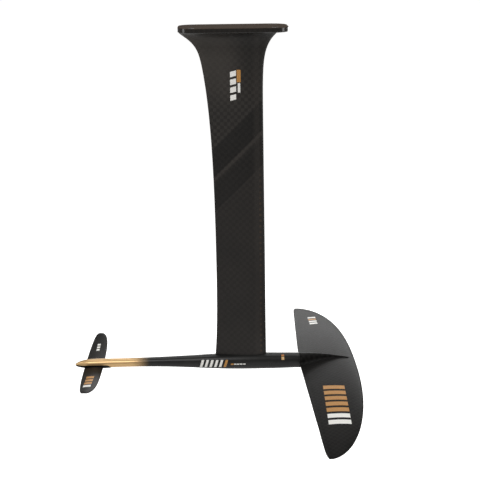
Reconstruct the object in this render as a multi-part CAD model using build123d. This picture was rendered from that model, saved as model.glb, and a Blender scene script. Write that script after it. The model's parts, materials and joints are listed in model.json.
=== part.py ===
from build123d import *
import os
from math import cos, exp, pi, sin, sqrt

# Hydrofoil: mast, fuselage, front wing and stabiliser, with the bolts that hold them together.
# Millimetres. Origin at the centre of the mast plate's top face, +X towards the front wing, +Z up.

# ---- driving dimensions -------------------------------------------------------------------
MAST_LENGTH = 711.0          # plate top to fuselage top, 28 in
PLATE_LENGTH = 222.0
PLATE_WIDTH = 114.0
PLATE_THICKNESS = 10.0
PLATE_CORNER = 34.0
BOLT_SPACING_X = 165.0       # board track pattern
BOLT_SPACING_Y = 90.0
MAST_THICKNESS = 15.0
MAST_SKIN = 1.8
FUSELAGE_HALF_HEIGHT = 18.0
FRONT_SPAN = 802.0
FRONT_ROOT_CHORD = 124.8
FRONT_DROOP = 22.7           # how far the front wing tips hang below the root
STAB_SPAN = 333.0
STAB_ROOT_CHORD = 40.8
STAB_RISE = 12.5             # how far the stabiliser tips stand above the root

# ---- places worked out from them ----------------------------------------------------------
AXIS_Z = -(MAST_LENGTH + FUSELAGE_HALF_HEIGHT)   # fuselage centreline
FOOT_Z = AXIS_Z - 5.7        # bottom of the mast foot, and floor of its pocket
NOSE_X = 138.0               # front face of the fuselage, where the wing fairing starts
TAIL_X = -358.5
LAP_X = 74.0                 # rear end of the lap that takes the wing's tongue
LAP_Z = AXIS_Z
SEAT_Z = AXIS_Z - 0.5        # flat under the tail that takes the stabiliser
FRONT_Z = AXIS_Z - 6.4       # chord plane of the front wing at its root
STAB_Z = AXIS_Z - 6.3        # chord plane of the stabiliser at its root
STAB_TRAILING = -336.8       # its trailing edge at the root

GAP = 0.3                    # between pieces that come apart
GLUE = 0.05                  # round bonded inserts
POWER = 2.25                 # of the fuselage's oval; 2 would be an ellipse
BIG = 2000.0

M8 = dict(shank=3.95, hole=4.3, tapped=4.05, head=7.75, pitch=1.25, hexagon=5.0)
M6 = dict(shank=2.95, hole=3.3, tapped=3.05, head=6.0, pitch=1.0, hexagon=4.0)
M5 = dict(shank=2.45, hole=2.8, tapped=2.55, head=4.9, pitch=0.8, hexagon=3.0)

MAST_BOLTS = dict(size=M8, x=[8.0, 46.0], head_z=AXIS_Z - 15.9, length=35.0)
WING_BOLTS = dict(size=M6, x=[84.0, 105.0, 126.0], head_z=AXIS_Z - 15.6, length=25.0)
STAB_BOLTS = dict(size=M5, x=[-328.0, -305.0], head_z=AXIS_Z - 10.2, length=16.0)


def box(x0, x1, y0, y1, z0, z1):
    """A block between two corners."""
    middle = ((x0 + x1) / 2, (y0 + y1) / 2, (z0 + z1) / 2)
    return Pos(*middle) * Box(x1 - x0, y1 - y0, z1 - z0)


def rod(x, y, z0, z1, radius):
    """An upright cylinder from z0 to z1."""
    return Pos(x, y, (z0 + z1) / 2) * Cylinder(radius, z1 - z0)


def profile(share):
    """Half thickness of a symmetric four-digit section at a share of its chord, where the thickest is 1."""
    root = 0.2969 * sqrt(share)
    rest = -0.1260 * share - 0.3516 * share**2 + 0.2843 * share**3 - 0.1036 * share**4
    return (root + rest) / 0.1000


def cosine_shares(count):
    """Shares of a chord from 0 to 1, close together at both ends."""
    return [(1 - cos(pi * i / (count - 1))) / 2 for i in range(count)]


def closed(*edges):
    return make_face(Wire(edges))


# ---- mast -----------------------------------------------------------------------------------
def mast_outline(depth):
    """Trailing x, leading x and half thickness of the mast at a depth below the plate's top."""
    below = max(depth - PLATE_THICKNESS, 0.0)
    taper = 20.5 * exp(-(depth - 100.0) / 135.0)
    flare = 31.0 * exp(-((below / 20.5) ** 1.4))
    foot = 6.3 * exp(-(MAST_LENGTH - 4.0 - min(depth, MAST_LENGTH - 4.0)) / 70.0)
    trailing = -(40.5 + taper + flare + foot)
    leading = 59.0 + 0.008 * min(depth, MAST_LENGTH) + 35.5 * exp(-below / 25.5)
    half = MAST_THICKNESS / 2 + 27.0 * exp(-below / 12.0)
    return trailing, leading, half


def mast_section(depth, inset=0.0, tail_inset=0.0):
    """The mast's section at a depth: an aerofoil that becomes an oval where it flares into the plate."""
    trailing, leading, half = mast_outline(depth)
    trailing, leading, half = trailing + tail_inset, leading - inset, half - inset
    oval = exp(-max(depth - PLATE_THICKNESS, 0.0) / 18.0)
    chord = leading - trailing
    blunt = 0.8

    def side(sign):
        points = []
        for share in cosine_shares(13):
            ellipse = sqrt(max(1.0 - (2.0 * share - 1.0) ** 2, 0.0))
            y = half * ((1.0 - oval) * profile(share) + oval * ellipse) + blunt * share
            points.append((leading - chord * share, sign * y, -depth))
        return points

    around = side(1)[::-1] + side(-1)[1:]
    return closed(Spline(*around), Line(around[-1], around[0]))


MAST_END = 707.0             # depth below which the mast is straight, down to its foot
# the depths from which and to which the mast is lofted in one go, and the number of stations between them
MAST_STRETCHES = [(10.0, 40.0, 11), (40.0, 148.0, 10), (148.0, MAST_END, 8)]


def mast_body(inset=0.0, tail_inset=0.0):
    """The mast from the plate to its foot, or the space inside a wall of the given thickness."""
    body = extrude(mast_section(MAST_END, inset, tail_inset), amount=-FOOT_Z - MAST_END, dir=(0, 0, -1))
    for start, end, count in MAST_STRETCHES:
        depths = [start + (end - start) * i / (count - 1) for i in range(count)]
        body += loft([mast_section(depth, inset, tail_inset) for depth in depths])
    return body


def mast_solids():
    skin_end = MAST_LENGTH + 4.5
    plug_top = 650.0
    body = mast_body()
    below = box(-BIG, BIG, -BIG, BIG, -BIG, -skin_end)
    skin = body - mast_body(MAST_SKIN, 9.0) - below
    filling = mast_body(MAST_SKIN + GLUE, 9.0 + GLUE) - below
    upper = filling & box(-BIG, BIG, -BIG, BIG, -plug_top + GLUE, 0)
    spar_rear, spar_front = 4.0, 34.0
    spar = upper & box(spar_rear, spar_front, -BIG, BIG, -BIG, 0)
    nose_core = upper & box(spar_front + GLUE, BIG, -BIG, BIG, -BIG, 0)
    tail_core = upper & box(-BIG, spar_rear - GLUE, -BIG, BIG, -BIG, 0)
    plug = filling & box(-BIG, BIG, -BIG, BIG, -BIG, -plug_top)
    tenon = body & box(-BIG, BIG, -BIG, BIG, FOOT_Z, -skin_end)
    block = plug + tenon
    insert_top = MAST_BOLTS["head_z"] + MAST_BOLTS["length"] + 2.0
    inserts = []
    for x in MAST_BOLTS["x"]:
        block -= rod(x, 0, FOOT_Z - 1.0, insert_top + 1.0, 5.0 + GLUE)
        sleeve = rod(x, 0, FOOT_Z + 0.5, insert_top, 5.0)
        inserts.append(sleeve - rod(x, 0, -BIG, 0, M8["tapped"]))
    return dict(
        mast_skin=skin,
        mast_spar=spar,
        mast_nose_core=nose_core,
        mast_tail_core=tail_core,
        mast_foot_block=block,
        mast_foot_inserts=Compound(children=inserts),
    )


def plate_solids():
    rim = extrude(RectangleRounded(PLATE_LENGTH, PLATE_WIDTH, PLATE_CORNER), amount=-PLATE_THICKNESS)
    top = rim.edges().group_by(Axis.Z)[-1]
    rim = fillet(top, 1.0)
    bottom = rim.edges().group_by(Axis.Z)[0]
    rim = fillet(bottom, 2.5)
    flange_radius, flange_depth = 9.0, 2.0
    bushes = []
    for x in (-BOLT_SPACING_X / 2, BOLT_SPACING_X / 2):
        for y in (-BOLT_SPACING_Y / 2, BOLT_SPACING_Y / 2):
            rim -= rod(x, y, -PLATE_THICKNESS, 0, 6.0 + GLUE)
            rim -= rod(x, y, -PLATE_THICKNESS, -PLATE_THICKNESS + flange_depth, flange_radius + GLUE)
            bush = rod(x, y, -PLATE_THICKNESS, 0, 6.0)
            bush += rod(x, y, -PLATE_THICKNESS, -PLATE_THICKNESS + flange_depth - GLUE, flange_radius)
            bushes.append(bush - rod(x, y, -PLATE_THICKNESS, 0, 4.25))
    return dict(mast_plate=rim, plate_bushes=Compound(children=bushes))


# ---- fuselage -------------------------------------------------------------------------------
# x, half width, half height and how far the centre lies below the fuselage axis
FUSELAGE_STATIONS = [
    (NOSE_X, 15.4, 16.6, 1.2), (100, 16.0, 17.2, 0.9), (60, 16.5, 17.8, 0.5), (15, 16.8, 18.0, 0),
    (-30, 15.9, 17.1, -0.3), (-70, 14.2, 15.2, -0.7), (-110, 12.3, 13.1, -1.1), (-150, 10.9, 11.4, -1.5),
    (-190, 10.0, 10.3, -1.6), (-230, 9.6, 9.7, -1.5), (-280, 9.6, 9.7, -1.2), (-318, 9.6, 9.6, -0.9),
    (-334, 8.8, 8.8, -0.6), (-344, 7.3, 7.2, 0), (-352, 5.0, 4.9, 0.7), (-357, 2.4, 2.4, 1.3),
]


def oval_section(x, half_width, half_height, centre_z, count=20):
    """A closed superellipse across the fuselage."""
    points = []
    for i in range(count):
        angle = 2 * pi * i / count
        c, s = cos(angle), sin(angle)
        y = half_width * abs(c) ** (2 / POWER) * (1 if c >= 0 else -1)
        z = half_height * abs(s) ** (2 / POWER) * (1 if s >= 0 else -1)
        points.append((x, y, centre_z + z))
    return closed(Spline(*points, periodic=True))


def fuselage_outer():
    sections = [oval_section(x, a, b, AXIS_Z - drop) for x, a, b, drop in FUSELAGE_STATIONS]
    tip = oval_section(TAIL_X, 0.9, 0.9, AXIS_Z - 1.5)
    return loft(sections + [tip])


def seat_cut(shift=0.0):
    """The space under the tail that the stabiliser's saddle fills, with a round run-out at its front."""
    start, radius = -290.0 - shift, 13.5
    with BuildSketch(Plane.XZ) as sketch:
        with BuildLine():
            flat = Line((TAIL_X - 20, SEAT_Z), (start, SEAT_Z))
            run = CenterArc((start, SEAT_Z - radius), radius, 0, 90)
            Polyline(run @ 0, (start + radius, AXIS_Z - 40), (TAIL_X - 20, AXIS_Z - 40), flat @ 0)
        make_face()
    return extrude(sketch.sketch, amount=60.0, both=True)


def countersink(bolt, x):
    """The hole and flush seat of a countersunk bolt that enters from below."""
    size, z = bolt["size"], bolt["head_z"]
    depth = size["head"] - size["shank"] + 0.4
    cone = Pos(x, 0, z + depth / 2) * Cone(size["head"] + 0.25, size["hole"], depth)
    return cone + rod(x, 0, z - 20.0, z, size["head"] + 0.25) + rod(x, 0, z, z + 60.0, size["hole"])


def sleeves(bolt, z0, length, radius):
    """Threaded inserts above z0, one for each bolt of a set, and the holes they are bonded into."""
    made, holes = [], []
    for x in bolt["x"]:
        sleeve = rod(x, 0, z0 + 0.3, z0 + length, radius)
        made.append(sleeve - rod(x, 0, z0, z0 + length, bolt["size"]["tapped"]))
        holes.append(rod(x, 0, z0 - 1.0, z0 + length + 0.5, radius + GLUE))
    return made, holes


def fuselage_solids(outer):
    shell = outer
    pocket = extrude(mast_section(MAST_END, -GAP, -GAP), amount=60.0, both=True)
    pocket = pocket & box(-BIG, BIG, -BIG, BIG, FOOT_Z, 0)
    shell -= pocket
    for x in MAST_BOLTS["x"]:
        shell -= countersink(MAST_BOLTS, x)
    shell -= box(LAP_X, BIG, -BIG, BIG, -BIG, LAP_Z)
    shell -= seat_cut()
    wing_inserts, wing_holes = sleeves(WING_BOLTS, LAP_Z, 12.0, 4.5)
    stab_inserts, stab_holes = sleeves(STAB_BOLTS, SEAT_Z, 8.0, 3.6)
    for hole in wing_holes + stab_holes:
        shell -= hole
    wall = 2.6
    boom = [s for s in FUSELAGE_STATIONS if -280 < s[0] < -60]
    void = loft([oval_section(x, a - wall, b - wall, AXIS_Z - drop) for x, a, b, drop in boom])
    inner = wall + GLUE
    core = loft([oval_section(x, a - inner, b - inner, AXIS_Z - drop) for x, a, b, drop in boom])
    core = core & box(-229.5, -70.5, -BIG, BIG, -BIG, BIG)
    port = Pos(-60, 0, AXIS_Z) * Rot(0, 90, 0) * Cylinder(3.0, 40)
    shell = shell - void - port
    return dict(
        fuselage_shell=shell,
        fuselage_boom_core=core,
        front_wing_inserts=Compound(children=wing_inserts),
        stabiliser_inserts=Compound(children=stab_inserts),
    )


# ---- wings ----------------------------------------------------------------------------------
def front_station(share):
    """Trailing x, chord, chord plane z and thickness of the front wing at a share of its half span."""
    trailing = NOSE_X + 0.4 + 17.8 * share**1.2 + 6.0 * share**40
    leading = NOSE_X + FRONT_ROOT_CHORD + 0.4 - 105.9 * (1.0 - sqrt(1.0 - share**2.4))
    z = FRONT_Z - FRONT_DROOP * share**2
    return trailing, leading - trailing, z, 0.122 - 0.03 * share


def stab_station(share):
    """The same for the stabiliser."""
    trailing = STAB_TRAILING + 9.0 * share**2.5 + 5.0 * share**24
    leading = STAB_TRAILING + STAB_ROOT_CHORD - 1.2 * share - 18.0 * (1.0 - sqrt(1.0 - share**5))
    z = STAB_Z + STAB_RISE * share**2
    return trailing, leading - trailing, z, 0.105


def surface_z(station, share, side, x):
    """Height of a wing's upper (side 1) or lower (side -1) surface at x."""
    trailing, chord, z, thick = station(share)
    along = min(max((trailing + chord - x) / chord, 0.0), 1.0)
    camber = 0.028 * chord * 4 * along * (1 - along)
    return z + camber + side * max(chord * thick / 2 * profile(along), 0.4 * along)


def wing_section(station, share, y, sides, trim=0.0, start=0.0, stop=1.0, count=13):
    """A wing section at y. sides picks the upper (1) and lower (-1) surface; 0 is the camber line."""
    trailing, chord, z, _ = station(share)

    def line(side):
        points = []
        for part in cosine_shares(count):
            along = start + (stop - start) * part
            x = trailing + chord * (1 - along)
            points.append((x, y, surface_z(station, share, side, x) - side * trim))
        return points

    high, low = line(sides[0]), line(sides[1])
    edges = [Spline(*high)]
    if abs(high[-1][2] - low[-1][2]) > 1e-6:
        edges.append(Line(high[-1], low[-1]))
    edges.append(Spline(*low[::-1]))
    if abs(high[0][2] - low[0][2]) > 1e-6:
        edges.append(Line(low[0], high[0]))
    return closed(*edges)


FRONT_SHARES = [0.0, 0.12, 0.25, 0.4, 0.55, 0.68, 0.79, 0.87, 0.93, 0.965, 0.985, 0.996]
STAB_SHARES = [0.0, 0.2, 0.4, 0.58, 0.72, 0.83, 0.91, 0.96, 0.985, 0.997]


def both_sides(shares):
    return [-s for s in shares[:0:-1]] + shares


def wing_loft(station, shares, half_span, sides, **how):
    sections = [wing_section(station, abs(s), s * half_span, sides, **how) for s in both_sides(shares)]
    return loft(sections)


# The ridge that carries the fuselage's line over the wing: x, half width, top z above the axis, fillet radius
RIDGE_STATIONS = [
    (NOSE_X + GAP, 15.4, 15.4, 1.5), (150, 13.8, 15.2, 6.0), (163, 11.0, 14.8, 8.0), (178, 8.2, 13.9, 7.5),
    (196, 5.9, 12.2, 6.0), (213, 4.2, 9.9, 4.5), (228, 2.8, 7.3, 3.0),
    (240, 1.6, 5.0, 1.8), (248, 0.8, 3.1, 1.0),
]


def ridge_section(x, half_width, top, fillet_radius):
    """A ridge across the wing: an oval crown on upright sides that sweep out into the wing's surface."""
    surface = surface_z(front_station, 0.0, 1, x)
    crown = AXIS_Z + top
    centre = max(surface, AXIS_Z - 1.2 - 0.05 * (x - NOSE_X))
    spring = min(surface + fillet_radius, crown - 0.35 * (crown - surface))
    reach = spring - surface
    lowest = max((spring - centre) / (crown - centre), 0.0)
    points = []
    for i in range(6):
        height = 1.0 - (1.0 - lowest) * (i / 5) ** 1.6
        across = half_width * (1.0 - height**POWER) ** (1 / POWER)
        points.append((across, centre + (crown - centre) * height))
    foot_y = points[-1][0]
    for i in range(1, 5):
        angle = pi / 2 * i / 4
        points.append((foot_y + reach * (1 - cos(angle)), spring - 0.35 * i / 4 - reach * sin(angle)))
    over = [(x, -y, z) for y, z in points[:0:-1]] + [(x, y, z) for y, z in points]
    base = FRONT_Z - 0.05
    right, left = (x, foot_y + reach, base), (x, -foot_y - reach, base)
    return closed(Spline(*over), Line(over[-1], right), Line(right, left), Line(left, over[0]))


def front_wing_solids(outer):
    half_span = FRONT_SPAN / 2
    upper = wing_loft(front_station, FRONT_SHARES, half_span, (1, 0))
    lower = wing_loft(front_station, FRONT_SHARES, half_span, (0, -1))
    ridge = loft([ridge_section(*s) for s in RIDGE_STATIONS])
    keel_stations = [
        (NOSE_X + GAP, 15.4, 16.6), (152, 13.6, 15.6), (168, 10.4, 13.5), (184, 6.4, 10.3), (196, 3.0, 7.0),
    ]
    keel = loft([oval_section(x, a, b, AXIS_Z - 1.2) for x, a, b in keel_stations])
    keel = keel & box(-BIG, BIG, -BIG, BIG, -BIG, FRONT_Z - 0.05)
    lower_skin = lower + keel
    upper_skin = upper + (ridge - lower_skin)
    nose = extrude(oval_section(NOSE_X, 15.4, 16.6, AXIS_Z - 1.2), amount=GAP, dir=(1, 0, 0))
    tongue = (outer + nose) & box(LAP_X + GAP, BIG, -BIG, BIG, -BIG, LAP_Z)
    anchor = box(NOSE_X + GAP, 184, -8.0, 8.0, FRONT_Z - 6.5, FRONT_Z + 10.0)
    anchor = fillet(anchor.edges().filter_by(Axis.X), 3.0)
    block = tongue + anchor
    for x in WING_BOLTS["x"]:
        block -= countersink(WING_BOLTS, x)
    core_shares = [0.0, 0.12, 0.25, 0.4, 0.55, 0.68, 0.76]
    void = wing_loft(front_station, core_shares, half_span, (1, -1), trim=1.4, start=0.07, stop=0.78)
    core = wing_loft(front_station, core_shares, half_span, (1, -1), trim=1.4 + GLUE, start=0.07, stop=0.78)
    root = box(NOSE_X - 20, BIG, -20, 20, -BIG, BIG)
    void, core = void - root, core - box(NOSE_X - 20, BIG, -20 - GLUE, 20 + GLUE, -BIG, BIG)
    socket = box(NOSE_X - 1, 184 + GLUE, -8.0 - GLUE, 8.0 + GLUE, FRONT_Z - 6.5 - GLUE, FRONT_Z + 10.0 + GLUE)
    return dict(
        front_wing_upper_skin=(upper_skin - void - socket).solids().sort_by(SortBy.VOLUME)[-1],
        front_wing_lower_skin=lower_skin - void - socket,
        front_wing_core=core,
        front_wing_root_block=block,
    )


def stabiliser_solids():
    wing = wing_loft(stab_station, STAB_SHARES, STAB_SPAN / 2, (1, -1))
    saddle_stations = [
        (-270, 9.5, 8.8, -1.2), (-280, 9.7, 10.6, -1.2), (-292, 9.8, 11.6, -1.1),
        (-306, 9.8, 11.6, -1.0), (-320, 9.7, 11.0, -0.9), (-334, 8.9, 9.7, -0.6),
        (-344, 7.4, 7.8, 0), (-352, 5.1, 5.3, 0.7), (-356.5, 2.7, 2.9, 1.2),
    ]
    saddle = loft([oval_section(x, a, b, AXIS_Z - drop) for x, a, b, drop in saddle_stations])
    saddle = saddle & seat_cut(shift=0.5)
    whole = wing + saddle
    whole -= box(-BIG, BIG, -8, 8, SEAT_Z, 0)
    for x in STAB_BOLTS["x"]:
        whole -= countersink(STAB_BOLTS, x)
    return dict(stabiliser_wing=whole)


# ---- bolts ----------------------------------------------------------------------------------
def countersunk_bolt(bolt, x):
    """A countersunk bolt with its head down, its thread as rings and a hexagon socket."""
    size, z, length = bolt["size"], bolt["head_z"], bolt["length"]
    shank, head, pitch = size["shank"], size["head"], size["pitch"]
    root = shank - 0.6 * pitch
    cone = head - shank
    plain = cone + 2.0
    outline = [(0, 0), (head - 0.4, 0), (head - 0.25, 0.25), (shank, cone), (shank, plain)]
    height = plain
    while height + pitch < length - 1.0:
        outline += [(root, height + pitch / 2), (shank, height + pitch)]
        height += pitch
    outline += [(root, length), (0, length)]
    section = make_face(Polyline(*[(r, 0, h) for r, h in outline], close=True))
    body = revolve(section, Axis.Z)
    hexagon = RegularPolygon(size["hexagon"] / 2, 6, major_radius=False)
    socket = extrude(hexagon, amount=size["hexagon"] * 0.6)
    return Pos(x, 0, z) * (body - socket)


def bolt_solids():
    made = {}
    places = [
        ("mast_bolt", MAST_BOLTS, ["rear", "front"]),
        ("front_wing_bolt", WING_BOLTS, ["rear", "middle", "front"]),
        ("stabiliser_bolt", STAB_BOLTS, ["rear", "front"]),
    ]
    for name, bolt, ends in places:
        for x, end in zip(bolt["x"], ends):
            made[f"{name}_{end}"] = countersunk_bolt(bolt, x)
    return made


def main():
    os.makedirs("parts", exist_ok=True)
    outer = fuselage_outer()
    nodes = {}
    nodes.update(plate_solids())
    nodes.update(mast_solids())
    nodes.update(fuselage_solids(outer))
    nodes.update(front_wing_solids(outer))
    nodes.update(stabiliser_solids())
    nodes.update(bolt_solids())
    for name, shape in nodes.items():
        export_step(shape, f"parts/{name}.step")
        print(name, len(shape.solids()), round(sum(s.volume for s in shape.solids())))


main()
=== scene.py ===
import bmesh
import bpy
import json
from math import cos, pi, sin
from mathutils import Matrix, Vector
from mathutils.bvhtree import BVHTree


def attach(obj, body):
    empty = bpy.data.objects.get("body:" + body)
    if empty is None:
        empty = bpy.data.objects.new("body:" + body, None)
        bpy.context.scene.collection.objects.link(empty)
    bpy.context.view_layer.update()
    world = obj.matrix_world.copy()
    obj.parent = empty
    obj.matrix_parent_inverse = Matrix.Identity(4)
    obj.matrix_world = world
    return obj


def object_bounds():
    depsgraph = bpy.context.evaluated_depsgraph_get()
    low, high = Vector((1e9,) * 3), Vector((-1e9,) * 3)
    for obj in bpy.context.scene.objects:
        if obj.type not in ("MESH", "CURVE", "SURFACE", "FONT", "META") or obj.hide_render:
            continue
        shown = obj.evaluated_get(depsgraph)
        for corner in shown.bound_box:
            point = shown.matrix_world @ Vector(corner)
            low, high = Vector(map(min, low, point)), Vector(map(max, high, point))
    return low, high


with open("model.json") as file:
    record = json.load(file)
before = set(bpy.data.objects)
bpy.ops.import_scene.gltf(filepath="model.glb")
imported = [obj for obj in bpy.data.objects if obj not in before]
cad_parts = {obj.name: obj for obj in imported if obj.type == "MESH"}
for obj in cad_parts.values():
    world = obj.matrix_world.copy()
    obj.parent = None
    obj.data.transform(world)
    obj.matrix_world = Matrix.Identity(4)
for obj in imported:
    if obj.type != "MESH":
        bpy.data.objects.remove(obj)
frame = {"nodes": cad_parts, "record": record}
cad_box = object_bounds()
nodes = frame["nodes"]

AXIS = -729.0            # height of the fuselage's centreline, in millimetres
LIFT = 0.00015           # how far printed marks stand off the surface
REACH = 0.4              # how far outside the object the rays start that lay marks on it

# how finely a mark follows the surface of each body
MARK_STEP = {"mast": 0.0015, "fuselage": 0.001, "front_wing": 0.002, "stabiliser": 0.0012}


# ---- materials ----------------------------------------------------------------------------
def rgba(hex_colour, gain=1.0):
    """A linear colour from an sRGB hex string."""
    channels = [int(hex_colour[i : i + 2], 16) / 255 for i in (0, 2, 4)]
    linear = [c / 12.92 if c <= 0.04045 else ((c + 0.055) / 1.055) ** 2.4 for c in channels]
    return [min(c * gain, 1.0) for c in linear] + [1.0]


class Shader:
    """A small helper that adds nodes to one material and links them."""

    def __init__(self, name, roughness=0.5, metallic=0.0, coat=0.0, coat_roughness=0.1, specular=0.5):
        self.material = bpy.data.materials.new(name)
        self.material.use_nodes = True
        self.tree = self.material.node_tree
        self.surface = self.tree.nodes["Principled BSDF"]
        self.set(self.surface, "Roughness", roughness)
        self.set(self.surface, "Metallic", metallic)
        self.set(self.surface, "Coat Weight", coat)
        self.set(self.surface, "Coat Roughness", coat_roughness)
        self.set(self.surface, "Specular IOR Level", specular)
        self.place = self.node("ShaderNodeTexCoord").outputs["Object"]

    def node(self, kind, **settings):
        made = self.tree.nodes.new(kind)
        for key, value in settings.items():
            setattr(made, key, value)
        return made

    def set(self, node, socket, value):
        """A constant goes straight on the socket, anything else is linked."""
        if isinstance(value, bpy.types.NodeSocket):
            self.tree.links.new(value, node.inputs[socket])
        else:
            node.inputs[socket].default_value = value

    def math(self, operation, a, b=0.0):
        made = self.node("ShaderNodeMath", operation=operation)
        self.set(made, 0, a)
        self.set(made, 1, b)
        return made.outputs[0]

    def axes(self):
        """The three coordinates of the frame, in metres."""
        split = self.node("ShaderNodeSeparateXYZ")
        self.set(split, 0, self.place)
        return split.outputs[0], split.outputs[1], split.outputs[2]

    def ramp(self, value, start, end, low=0.0, high=1.0):
        """low below start, high above end, smooth between."""
        made = self.node("ShaderNodeMapRange", interpolation_type="SMOOTHSTEP")
        given = {"Value": value, "From Min": start, "From Max": end, "To Min": low, "To Max": high}
        for socket, setting in given.items():
            self.set(made, socket, setting)
        return made.outputs[0]

    def times(self, *shares):
        """Several shares multiplied together."""
        product = shares[0]
        for share in shares[1:]:
            product = self.math("MULTIPLY", product, share)
        return product

    def window(self, value, start, full, fade, end):
        """A share that is 0 before start and past end, and 1 from full to fade."""
        return self.times(self.ramp(value, start, full), self.ramp(value, end, fade))

    def mix(self, share, a, b):
        made = self.node("ShaderNodeMix", data_type="RGBA")
        self.set(made, 0, share)
        self.set(made, 6, a)
        self.set(made, 7, b)
        return made.outputs[2]

    def tint(self, base, share, hex_colour):
        """The base colour, with a share of another colour laid over it."""
        return self.mix(share, base, rgba(hex_colour))

    def noise(self, scale, detail=3.0, stretch=(1, 1, 1)):
        mapped = self.node("ShaderNodeMapping")
        self.set(mapped, "Vector", self.place)
        self.set(mapped, "Scale", stretch)
        made = self.node("ShaderNodeTexNoise")
        self.set(made, "Vector", mapped.outputs[0])
        self.set(made, "Scale", scale)
        self.set(made, "Detail", detail)
        return made.outputs["Fac"]

    def weave(self, first, second, pitch):
        """A plain weave between two coordinates: 0 and 1 in turn, with soft edges."""
        waves = [self.math("SINE", self.times(c, pi / pitch)) for c in (first, second)]
        return self.ramp(self.times(*waves), -0.25, 0.25)

    def bump(self, height, strength, distance=0.001):
        made = self.node("ShaderNodeBump")
        self.set(made, "Height", height)
        self.set(made, "Strength", strength)
        self.set(made, "Distance", distance)
        self.set(self.surface, "Normal", made.outputs[0])

    def colour(self, value):
        self.set(self.surface, "Base Color", value)


PLY_SLOPE = 0.99                    # how steeply the mast's ply edges rise towards its front
PLY_STRIP = (-0.281, -0.277, -0.272, -0.268)                # a lighter strip between two dark plies
PLY_PANELS = ((-0.270, -0.204, 0.75), (-0.345, -0.279, 0.6))    # their lower edge, upper edge and darkness
MAST_TOP_PAINTED_LIGHT = (-0.20, -0.06)           # the heights between which the painted highlight and the painted shade at the mast's upper end set in
UNDER_PLATE_SHADOW = (-0.030, -0.010)      # the heights between which a painted shadow darkens the flare under the plate
NOSE_HIGHLIGHT = (0.036, 0.046, 0.050, 0.056)        # where the painted highlight behind the leading edge starts, is full, fades and ends
SEAM = (0.0505, 0.0520, 0.0545, 0.0565)         # the same for the seam inside it
SEAM_DOT = 0.0062                   # half the distance from one dot of the seam to the next


def mast_material():
    """Dark woven laminate: a strong weave above slanted ply edges, plainer below them."""
    s = Shader("mast carbon", specular=0.22, coat=0.12, coat_roughness=0.35)
    x, y, z = s.axes()
    ply = s.math("SUBTRACT", z, s.times(x, PLY_SLOPE))
    cell = s.times(s.weave(x, z, 0.0072), s.ramp(ply, -0.40, -0.22, 0.3, 1.0))
    base = s.mix(cell, rgba("24211f"), rgba("33302d"))
    # the upper end: a painted highlight at the back, painted shade in front and a painted shadow close under
    # the plate
    base = s.tint(base, s.times(s.ramp(z, *MAST_TOP_PAINTED_LIGHT, 0.0, 0.7), s.ramp(x, 0.03, -0.03, 0.1, 1.0)), "4a4540")
    base = s.tint(base, s.times(s.ramp(z, *MAST_TOP_PAINTED_LIGHT, 0.0, 0.55), s.ramp(x, -0.02, 0.04)), "1f1d1b")
    base = s.tint(base, s.ramp(z, *UNDER_PLATE_SHADOW, 0.0, 0.6), "151413")
    base = s.tint(base, s.times(s.window(ply, *PLY_STRIP), 0.55), "383431")
    for low, high, depth in PLY_PANELS:
        panel = s.window(ply, low, low + 0.004, high - 0.008, high)
        base = s.tint(base, s.times(panel, depth), "11100f")
    # a painted highlight behind the leading edge, with a warm dotted seam low down
    base = s.tint(base, s.times(s.window(x, *NOSE_HIGHLIGHT), 0.35), "3a3633")
    dots = s.ramp(s.math("SINE", s.times(z, pi / SEAM_DOT)), 0.0, 0.6)
    seam = s.times(s.window(x, *SEAM), s.ramp(z, -0.25, -0.40))
    base = s.tint(base, s.times(seam, dots, 0.45), "51402f")
    cloud = s.noise(9.0, 4.0)
    s.colour(s.tint(base, s.ramp(cloud, 0.35, 0.7, 0.0, 0.35), "1a1918"))
    s.set(s.surface, "Roughness", s.ramp(cloud, 0.3, 0.7, 0.40, 0.50))
    s.bump(cell, 0.12, 0.0002)
    return s.material


def plate_material():
    """Moulded laminate with a clear-coated rim and a dull, slightly brown top."""
    s = Shader("plate carbon", specular=0.10, coat_roughness=0.14)
    x, y, z = s.axes()
    top = s.ramp(z, -0.0012, -0.0004)
    grain = s.noise(60.0, 4.0)
    base = s.mix(s.weave(x, y, 0.005), rgba("15120f"), rgba("1b1714"))
    base = s.tint(base, s.times(top, 0.8), "4a3e34")
    s.colour(s.tint(base, s.ramp(grain, 0.45, 0.75, 0.0, 0.4), "14110f"))
    s.set(s.surface, "Roughness", s.ramp(top, 0.0, 1.0, 0.30, 0.75))
    s.set(s.surface, "Coat Weight", s.ramp(top, 0.0, 1.0, 0.8, 0.0))
    s.bump(grain, 0.08, 0.0003)
    return s.material


GOLD_FADE = (-0.238, -0.190)        # all gold behind the first place, all black in front of the second
SPRAY_SPREAD = 0.016                # how far the fade's grain scatters


def fuselage_material():
    """Satin black that fades through a sprayed edge into a metallic gold tail."""
    s = Shader("fuselage paint", coat=0.15, coat_roughness=0.25, specular=0.3)
    x, y, z = s.axes()
    grain = s.noise(420.0, 3.0)
    spray = s.times(s.math("SUBTRACT", grain, 0.5), SPRAY_SPREAD)
    gold = s.ramp(s.math("ADD", x, spray), *GOLD_FADE, 1.0, 0.0)
    golden = s.mix(s.ramp(s.noise(1800.0, 2.0), 0.4, 0.65), rgba("d6ad76"), rgba("e6c492"))
    black = s.mix(s.ramp(s.noise(30.0), 0.35, 0.7), rgba("151515"), rgba("1d1d1c"))
    s.colour(s.mix(gold, black, golden))
    s.set(s.surface, "Metallic", s.times(gold, 0.65))
    s.set(s.surface, "Roughness", s.ramp(gold, 0.0, 1.0, 0.33, 0.30))
    s.bump(grain, 0.03, 0.0001)
    return s.material


FRONT_TIP_SHADE = (0.385, 0.40)          # the distances from the middle between which a front wing's tips darken with painted shade
STABILISER_TIPS = (0.125, 0.158)


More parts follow.
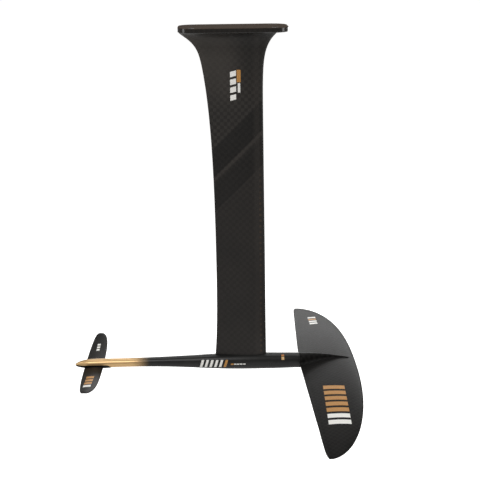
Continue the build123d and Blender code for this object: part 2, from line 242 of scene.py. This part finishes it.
def wing_material(name, low, high, weave_pitch=0.006, specular=0.09, tips=FRONT_TIP_SHADE):
    """A sanded laminate with a fine weave under it, and tips darkened in colour, which on the front wing is
    painted shade.
    """
    s = Shader(name, specular=specular)
    x, y, z = s.axes()
    cloud = s.noise(7.0, 5.0, (1.0, 0.5, 1.0))
    fine = s.noise(260.0, 3.0, (1.0, 4.0, 1.0))
    base = s.mix(s.ramp(cloud, 0.3, 0.7), rgba(low), rgba(high))
    base = s.tint(base, s.times(s.weave(x, y, weave_pitch), 0.12), "3c3a37")
    # darker towards the tips; on the front wing this is painted shade
    s.colour(s.tint(base, s.ramp(s.math("ABSOLUTE", y), *tips, 0.0, 0.7), "070707"))
    s.set(s.surface, "Roughness", s.ramp(fine, 0.3, 0.7, 0.38, 0.48))
    s.bump(fine, 0.08, 0.0002)
    return s.material


def metal_material(name, colour, roughness):
    """Machined metal with a fine grain in its tone and its gloss."""
    s = Shader(name, metallic=1.0)
    grain = s.noise(900.0, 2.0)
    s.colour(s.mix(s.ramp(grain, 0.35, 0.7), rgba(colour, 0.75), rgba(colour)))
    s.set(s.surface, "Roughness", s.ramp(grain, 0.3, 0.7, roughness - 0.06, roughness + 0.08))
    return s.material


def core_material():
    """Closed-cell foam."""
    s = Shader("foam core", roughness=0.8, specular=0.2)
    cell = s.noise(700.0, 3.0)
    s.colour(s.mix(s.ramp(cell, 0.35, 0.65), rgba("a8936a"), rgba("c8b588")))
    s.bump(cell, 0.3, 0.0003)
    return s.material


def ink_material(name, colour, speckle):
    """Screen-printed ink with a fine speckle."""
    s = Shader(name, roughness=0.45)
    grain = s.noise(800.0, 2.0)
    s.colour(s.mix(s.ramp(grain, 0.4, 0.7), rgba(colour), rgba(speckle)))
    return s.material


looks = {
    "mast_carbon": mast_material(),
    "plate_carbon": plate_material(),
    "fuselage_paint": fuselage_material(),
    "wing_carbon": wing_material("wing carbon", "0c0b0b", "141312"),
    "stab_carbon": wing_material("stabiliser carbon", "110f0e", "1a1715", 0.004, 0.10, STABILISER_TIPS),
    "spar": wing_material("solid laminate", "1f1f1f", "2b2b2b", 0.004),
    "core": core_material(),
    "stainless": metal_material("stainless steel", "b4b4b6", 0.32),
    "insert_brass": metal_material("brass", "c7a252", 0.30),
    "bush_steel": metal_material("bush steel", "9c9c9e", 0.36),
}
slot_of = {part["node"]: part["material_slot"] for part in frame["record"]["subparts"]}
for name, item in nodes.items():
    item.data.materials.clear()
    item.data.materials.append(looks[slot_of[name]])


# ---- printed marks ------------------------------------------------------------------------
gold_ink = ink_material("gold ink", "b67f3a", "c8934c")
white_ink = ink_material("white ink", "f0eee8", "fbfaf6")
copper_ink = ink_material("copper ink", "b8702f", "c98440")
pale_ink = ink_material("pale gold ink", "cfa46a", "e0c496")

trees = {}


def surface_tree(name):
    """The faces of a node, ready for rays, made once."""
    if name not in trees:
        mesh = nodes[name].data
        corners = [v.co for v in mesh.vertices]
        trees[name] = BVHTree.FromPolygons(corners, [list(p.vertices) for p in mesh.polygons])
    return trees[name]


def printed(name, on, body, look, corners, direction):
    """A thin printed quadrilateral laid on a node. corners are four points seen along direction."""
    a, b, c, d = (Vector(p) for p in corners)
    ray = Vector(direction)
    step = MARK_STEP[body]
    columns = max(int(max((b - a).length, (c - d).length) / step), 1) + 1
    rows = max(int(max((d - a).length, (c - b).length) / step), 1) + 1
    mesh = bmesh.new()
    grid = []
    for j in range(rows + 1):
        line = []
        for i in range(columns + 1):
            across, along = i / columns, j / rows
            aim = a.lerp(b, across).lerp(d.lerp(c, across), along)
            spot = surface_tree(on).ray_cast(aim - ray * REACH, ray)[0]
            line.append(mesh.verts.new(spot - ray * LIFT) if spot else None)
        grid.append(line)
    for j in range(rows):
        for i in range(columns):
            ring = [grid[j][i], grid[j][i + 1], grid[j + 1][i + 1], grid[j + 1][i]]
            if all(ring):
                mesh.faces.new(ring)
    bmesh.ops.recalc_face_normals(mesh, faces=mesh.faces)
    data = bpy.data.meshes.new(name)
    mesh.to_mesh(data)
    mesh.free()
    item = bpy.data.objects.new(name, data)
    bpy.context.scene.collection.objects.link(item)
    item.data.materials.append(look)
    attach(item, body)


def side_mark(name, on, body, look, corners):
    """A mark on the near side, which faces -Y, given as (x, z) corners in millimetres."""
    points = [(x / 1000, 0.0, z / 1000) for x, z in corners]
    printed(name, on, body, look, points, (0, 1, 0))


def top_mark(name, on, body, look, corners):
    """A mark on an upper surface, given as (x, y) corners in millimetres."""
    points = [(x / 1000, y / 1000, AXIS / 1000) for x, y in corners]
    printed(name, on, body, look, points, (0, 0, -1))


def slanted(x0, x1, z0, z1, lean=0.0):
    """Corners of an upright bar whose upper edge is further forward than its lower one."""
    return [(x0, z0), (x1, z0), (x1 + lean, z1), (x0 + lean, z1)]


# mast: a column of slanted blocks, with two small tags beside its upper end
MAST = ("mast_skin", "mast")
BLOCKS_LOW, BLOCK_PITCH, BLOCK_HEIGHT, BLOCK_RISE = -150.0, 16.0, 11.0, 3.0
BLOCK_BACK, BLOCK_FRONT = -7.0, 5.0
for i in range(4):
    low = BLOCKS_LOW + BLOCK_PITCH * i
    high = low + BLOCK_HEIGHT
    block = [
        (BLOCK_BACK, low), (BLOCK_FRONT, low + BLOCK_RISE),
        (BLOCK_FRONT, high + BLOCK_RISE), (BLOCK_BACK, high),
    ]
    side_mark(f"mast_block_{i + 1}", *MAST, white_ink, block)
side_mark("mast_tag_gold", *MAST, gold_ink, slanted(6.5, 14.5, -112, -87))
side_mark("mast_tag_white", *MAST, white_ink, slanted(8.5, 13.5, -133, -114))

# fuselage: a row of slanted bars that ends in gold, a fine dashed strip, and a two-tone tab
FUSELAGE = ("fuselage_shell", "fuselage")
BARS_BACK, BAR_PITCH, BAR_WIDTH, BAR_LEAN, BAR_HALF_HEIGHT = -83.0, 10.5, 5.5, 5.0, 8.5
for i, look in enumerate([white_ink] * 5 + [gold_ink]):
    x = BARS_BACK + BAR_PITCH * i
    bar = slanted(x, x + BAR_WIDTH, AXIS - BAR_HALF_HEIGHT, AXIS + BAR_HALF_HEIGHT, BAR_LEAN)
    side_mark(f"fuselage_bar_{i + 1}", *FUSELAGE, look, bar)
side_mark("fuselage_dash_gold", *FUSELAGE, gold_ink, slanted(-14, -8, AXIS - 3, AXIS + 0.5))
DASHES_BACK, DASH_PITCH, DASH_LENGTH = -7.0, 6.6, 5.4
for i in range(4):
    x = DASHES_BACK + DASH_PITCH * i
    side_mark(f"fuselage_dash_{i + 1}", *FUSELAGE, white_ink, slanted(x, x + DASH_LENGTH, AXIS - 2.5, AXIS))
TAB_BACK, TAB_FRONT = 98, 104
side_mark("fuselage_tab_copper", *FUSELAGE, copper_ink, slanted(TAB_BACK, TAB_FRONT, AXIS + 13, AXIS + 21.5))
side_mark("fuselage_tab_pale", *FUSELAGE, pale_ink, slanted(TAB_BACK, TAB_FRONT, AXIS + 6, AXIS + 12))


def stripes(prefix, on, body, field, inks, fill):
    """Parallel stripes that share out a four-cornered field from its inner end to its outer end."""
    inner_back, inner_front, outer_front, outer_back = [Vector(corner) for corner in field]
    for i, look in enumerate(inks):
        start = i / len(inks)
        end = (i + fill) / len(inks)
        area = [
            inner_back.lerp(outer_back, start), inner_front.lerp(outer_front, start),
            inner_front.lerp(outer_front, end), inner_back.lerp(outer_back, end),
        ]
        top_mark(f"{prefix}_{i + 1}", on, body, look, area)


# wings: gold stripes that end in white on the near halves, small light ones on the far halves
WING = ("front_wing_upper_skin", "front_wing")
STABILISER = ("stabiliser_wing", "stabiliser")
WING_NEAR = ((176.5, -136.0), (220.5, -143.0), (216.0, -300.0), (171.5, -297.0))
WING_FAR = ((184.0, 230.0), (203.0, 230.0), (203.0, 298.0), (184.0, 298.0))
STAB_NEAR = ((-325.5, -64.0), (-309.0, -64.0), (-310.0, -134.0), (-326.0, -134.0))
STAB_FAR = ((-320.0, 76.0), (-313.0, 76.0), (-313.0, 114.0), (-320.0, 114.0))
stripes("wing_near", *WING, WING_NEAR, [gold_ink] * 5 + [white_ink] * 2, 0.66)
stripes("wing_far", *WING, WING_FAR, [white_ink, white_ink, gold_ink, white_ink], 0.7)
stripes("stabiliser_near", *STABILISER, STAB_NEAR, [gold_ink] * 3 + [white_ink], 0.7)
stripes("stabiliser_far", *STABILISER, STAB_FAR, [white_ink] * 3, 0.7)


# ---- stage --------------------------------------------------------------------------------
FLOOR_SIZE = 120.0
FLOOR_DROP = 0.42        # the floor's depth under the object, so that every slide has room
FLOOR_GLOW = 0.75        # only the camera sees it


def area_light(name, place, target, size, power):
    """A soft white panel at a place, turned to a target, that the camera doesn't see."""
    data = bpy.data.lights.new(name, "AREA")
    data.shape = "RECTANGLE"
    data.size, data.size_y = size
    data.energy = power
    item = bpy.data.objects.new(name, data)
    bpy.context.scene.collection.objects.link(item)
    item.location = place
    aim = Vector(target) - Vector(place)
    item.rotation_euler = aim.to_track_quat("-Z", "Y").to_euler()
    item.visible_camera = False


def world_light(strength, seen_strength, colour):
    """A plain surrounding: one strength as a light, and a paler one where the camera sees it."""
    world = bpy.data.worlds.new("studio")
    bpy.context.scene.world = world
    world.use_nodes = True
    tree = world.node_tree
    background = tree.nodes["Background"]
    background.inputs["Color"].default_value = (*colour, 1.0)
    strengths = tree.nodes.new("ShaderNodeMapRange")
    strengths.inputs["To Min"].default_value = strength
    strengths.inputs["To Max"].default_value = seen_strength
    path = tree.nodes.new("ShaderNodeLightPath")
    tree.links.new(path.outputs["Is Camera Ray"], strengths.inputs["Value"])
    tree.links.new(strengths.outputs["Result"], background.inputs["Strength"])


def floor_material():
    """White paper that glows a little for the camera, and is clear from below so that the underside shows."""
    s = Shader("white paper", roughness=0.9, specular=0.05)
    s.colour(s.mix(s.ramp(s.noise(2.0), 0.3, 0.7), rgba("f6f6f6"), rgba("ffffff")))
    s.set(s.surface, "Emission Color", (1.0, 1.0, 1.0, 1.0))
    seen = s.node("ShaderNodeLightPath").outputs["Is Camera Ray"]
    s.set(s.surface, "Emission Strength", s.times(seen, FLOOR_GLOW))
    under = s.node("ShaderNodeNewGeometry").outputs["Backfacing"]
    s.set(s.surface, "Alpha", s.math("SUBTRACT", 1.0, under))
    return s.material


bpy.ops.mesh.primitive_plane_add(size=FLOOR_SIZE, location=(0, 0, cad_box[0][2] - FLOOR_DROP))
floor = bpy.context.object
floor.name = "floor"
floor.data.materials.append(floor_material())

world_light(0.28, 0.9, (1.0, 0.985, 0.96))
area_light("overhead", (0.1, 0.7, 1.5), (0, 0.1, -0.6), (2.0, 1.2), 14)
area_light("back", (0.4, 1.9, -0.25), (0.1, 0, -0.7), (2.2, 0.5), 12)
area_light("key", (-0.7, -1.9, 1.0), (0, 0, -0.4), (1.2, 1.4), 19)
area_light("rim", (1.5, -0.2, 0.3), (0, 0, -0.4), (0.5, 1.8), 9)
area_light("rim_behind", (-1.5, -0.3, 0.3), (0, 0, -0.3), (0.4, 1.6), 6)
bpy.context.scene.view_settings.view_transform = "Standard"

# ---- camera -------------------------------------------------------------------------------
CAMERA_PLACE = (-0.041625, -2.054899, 0.158351)
LENS_MM = 75.0498
SENSOR_MM = 36.0
yaw = 0.024938
pitch = -0.287651
roll = -0.011565
forward = Vector((sin(yaw) * cos(pitch), cos(yaw) * cos(pitch), sin(pitch)))
level = Vector((cos(yaw), -sin(yaw), 0.0))
upright = level.cross(forward)
right = level * cos(roll) + upright * sin(roll)
up = upright * cos(roll) - level * sin(roll)
camera_data = bpy.data.cameras.new("camera")
camera_data.sensor_width = SENSOR_MM
camera_data.lens = LENS_MM
camera_data.clip_end = 30.0
camera = bpy.data.objects.new("camera", camera_data)
bpy.context.scene.collection.objects.link(camera)
turn = Matrix((right, up, -forward)).transposed().to_4x4()
camera.matrix_world = Matrix.Translation(Vector(CAMERA_PLACE)) @ turn
bpy.context.scene.camera = camera
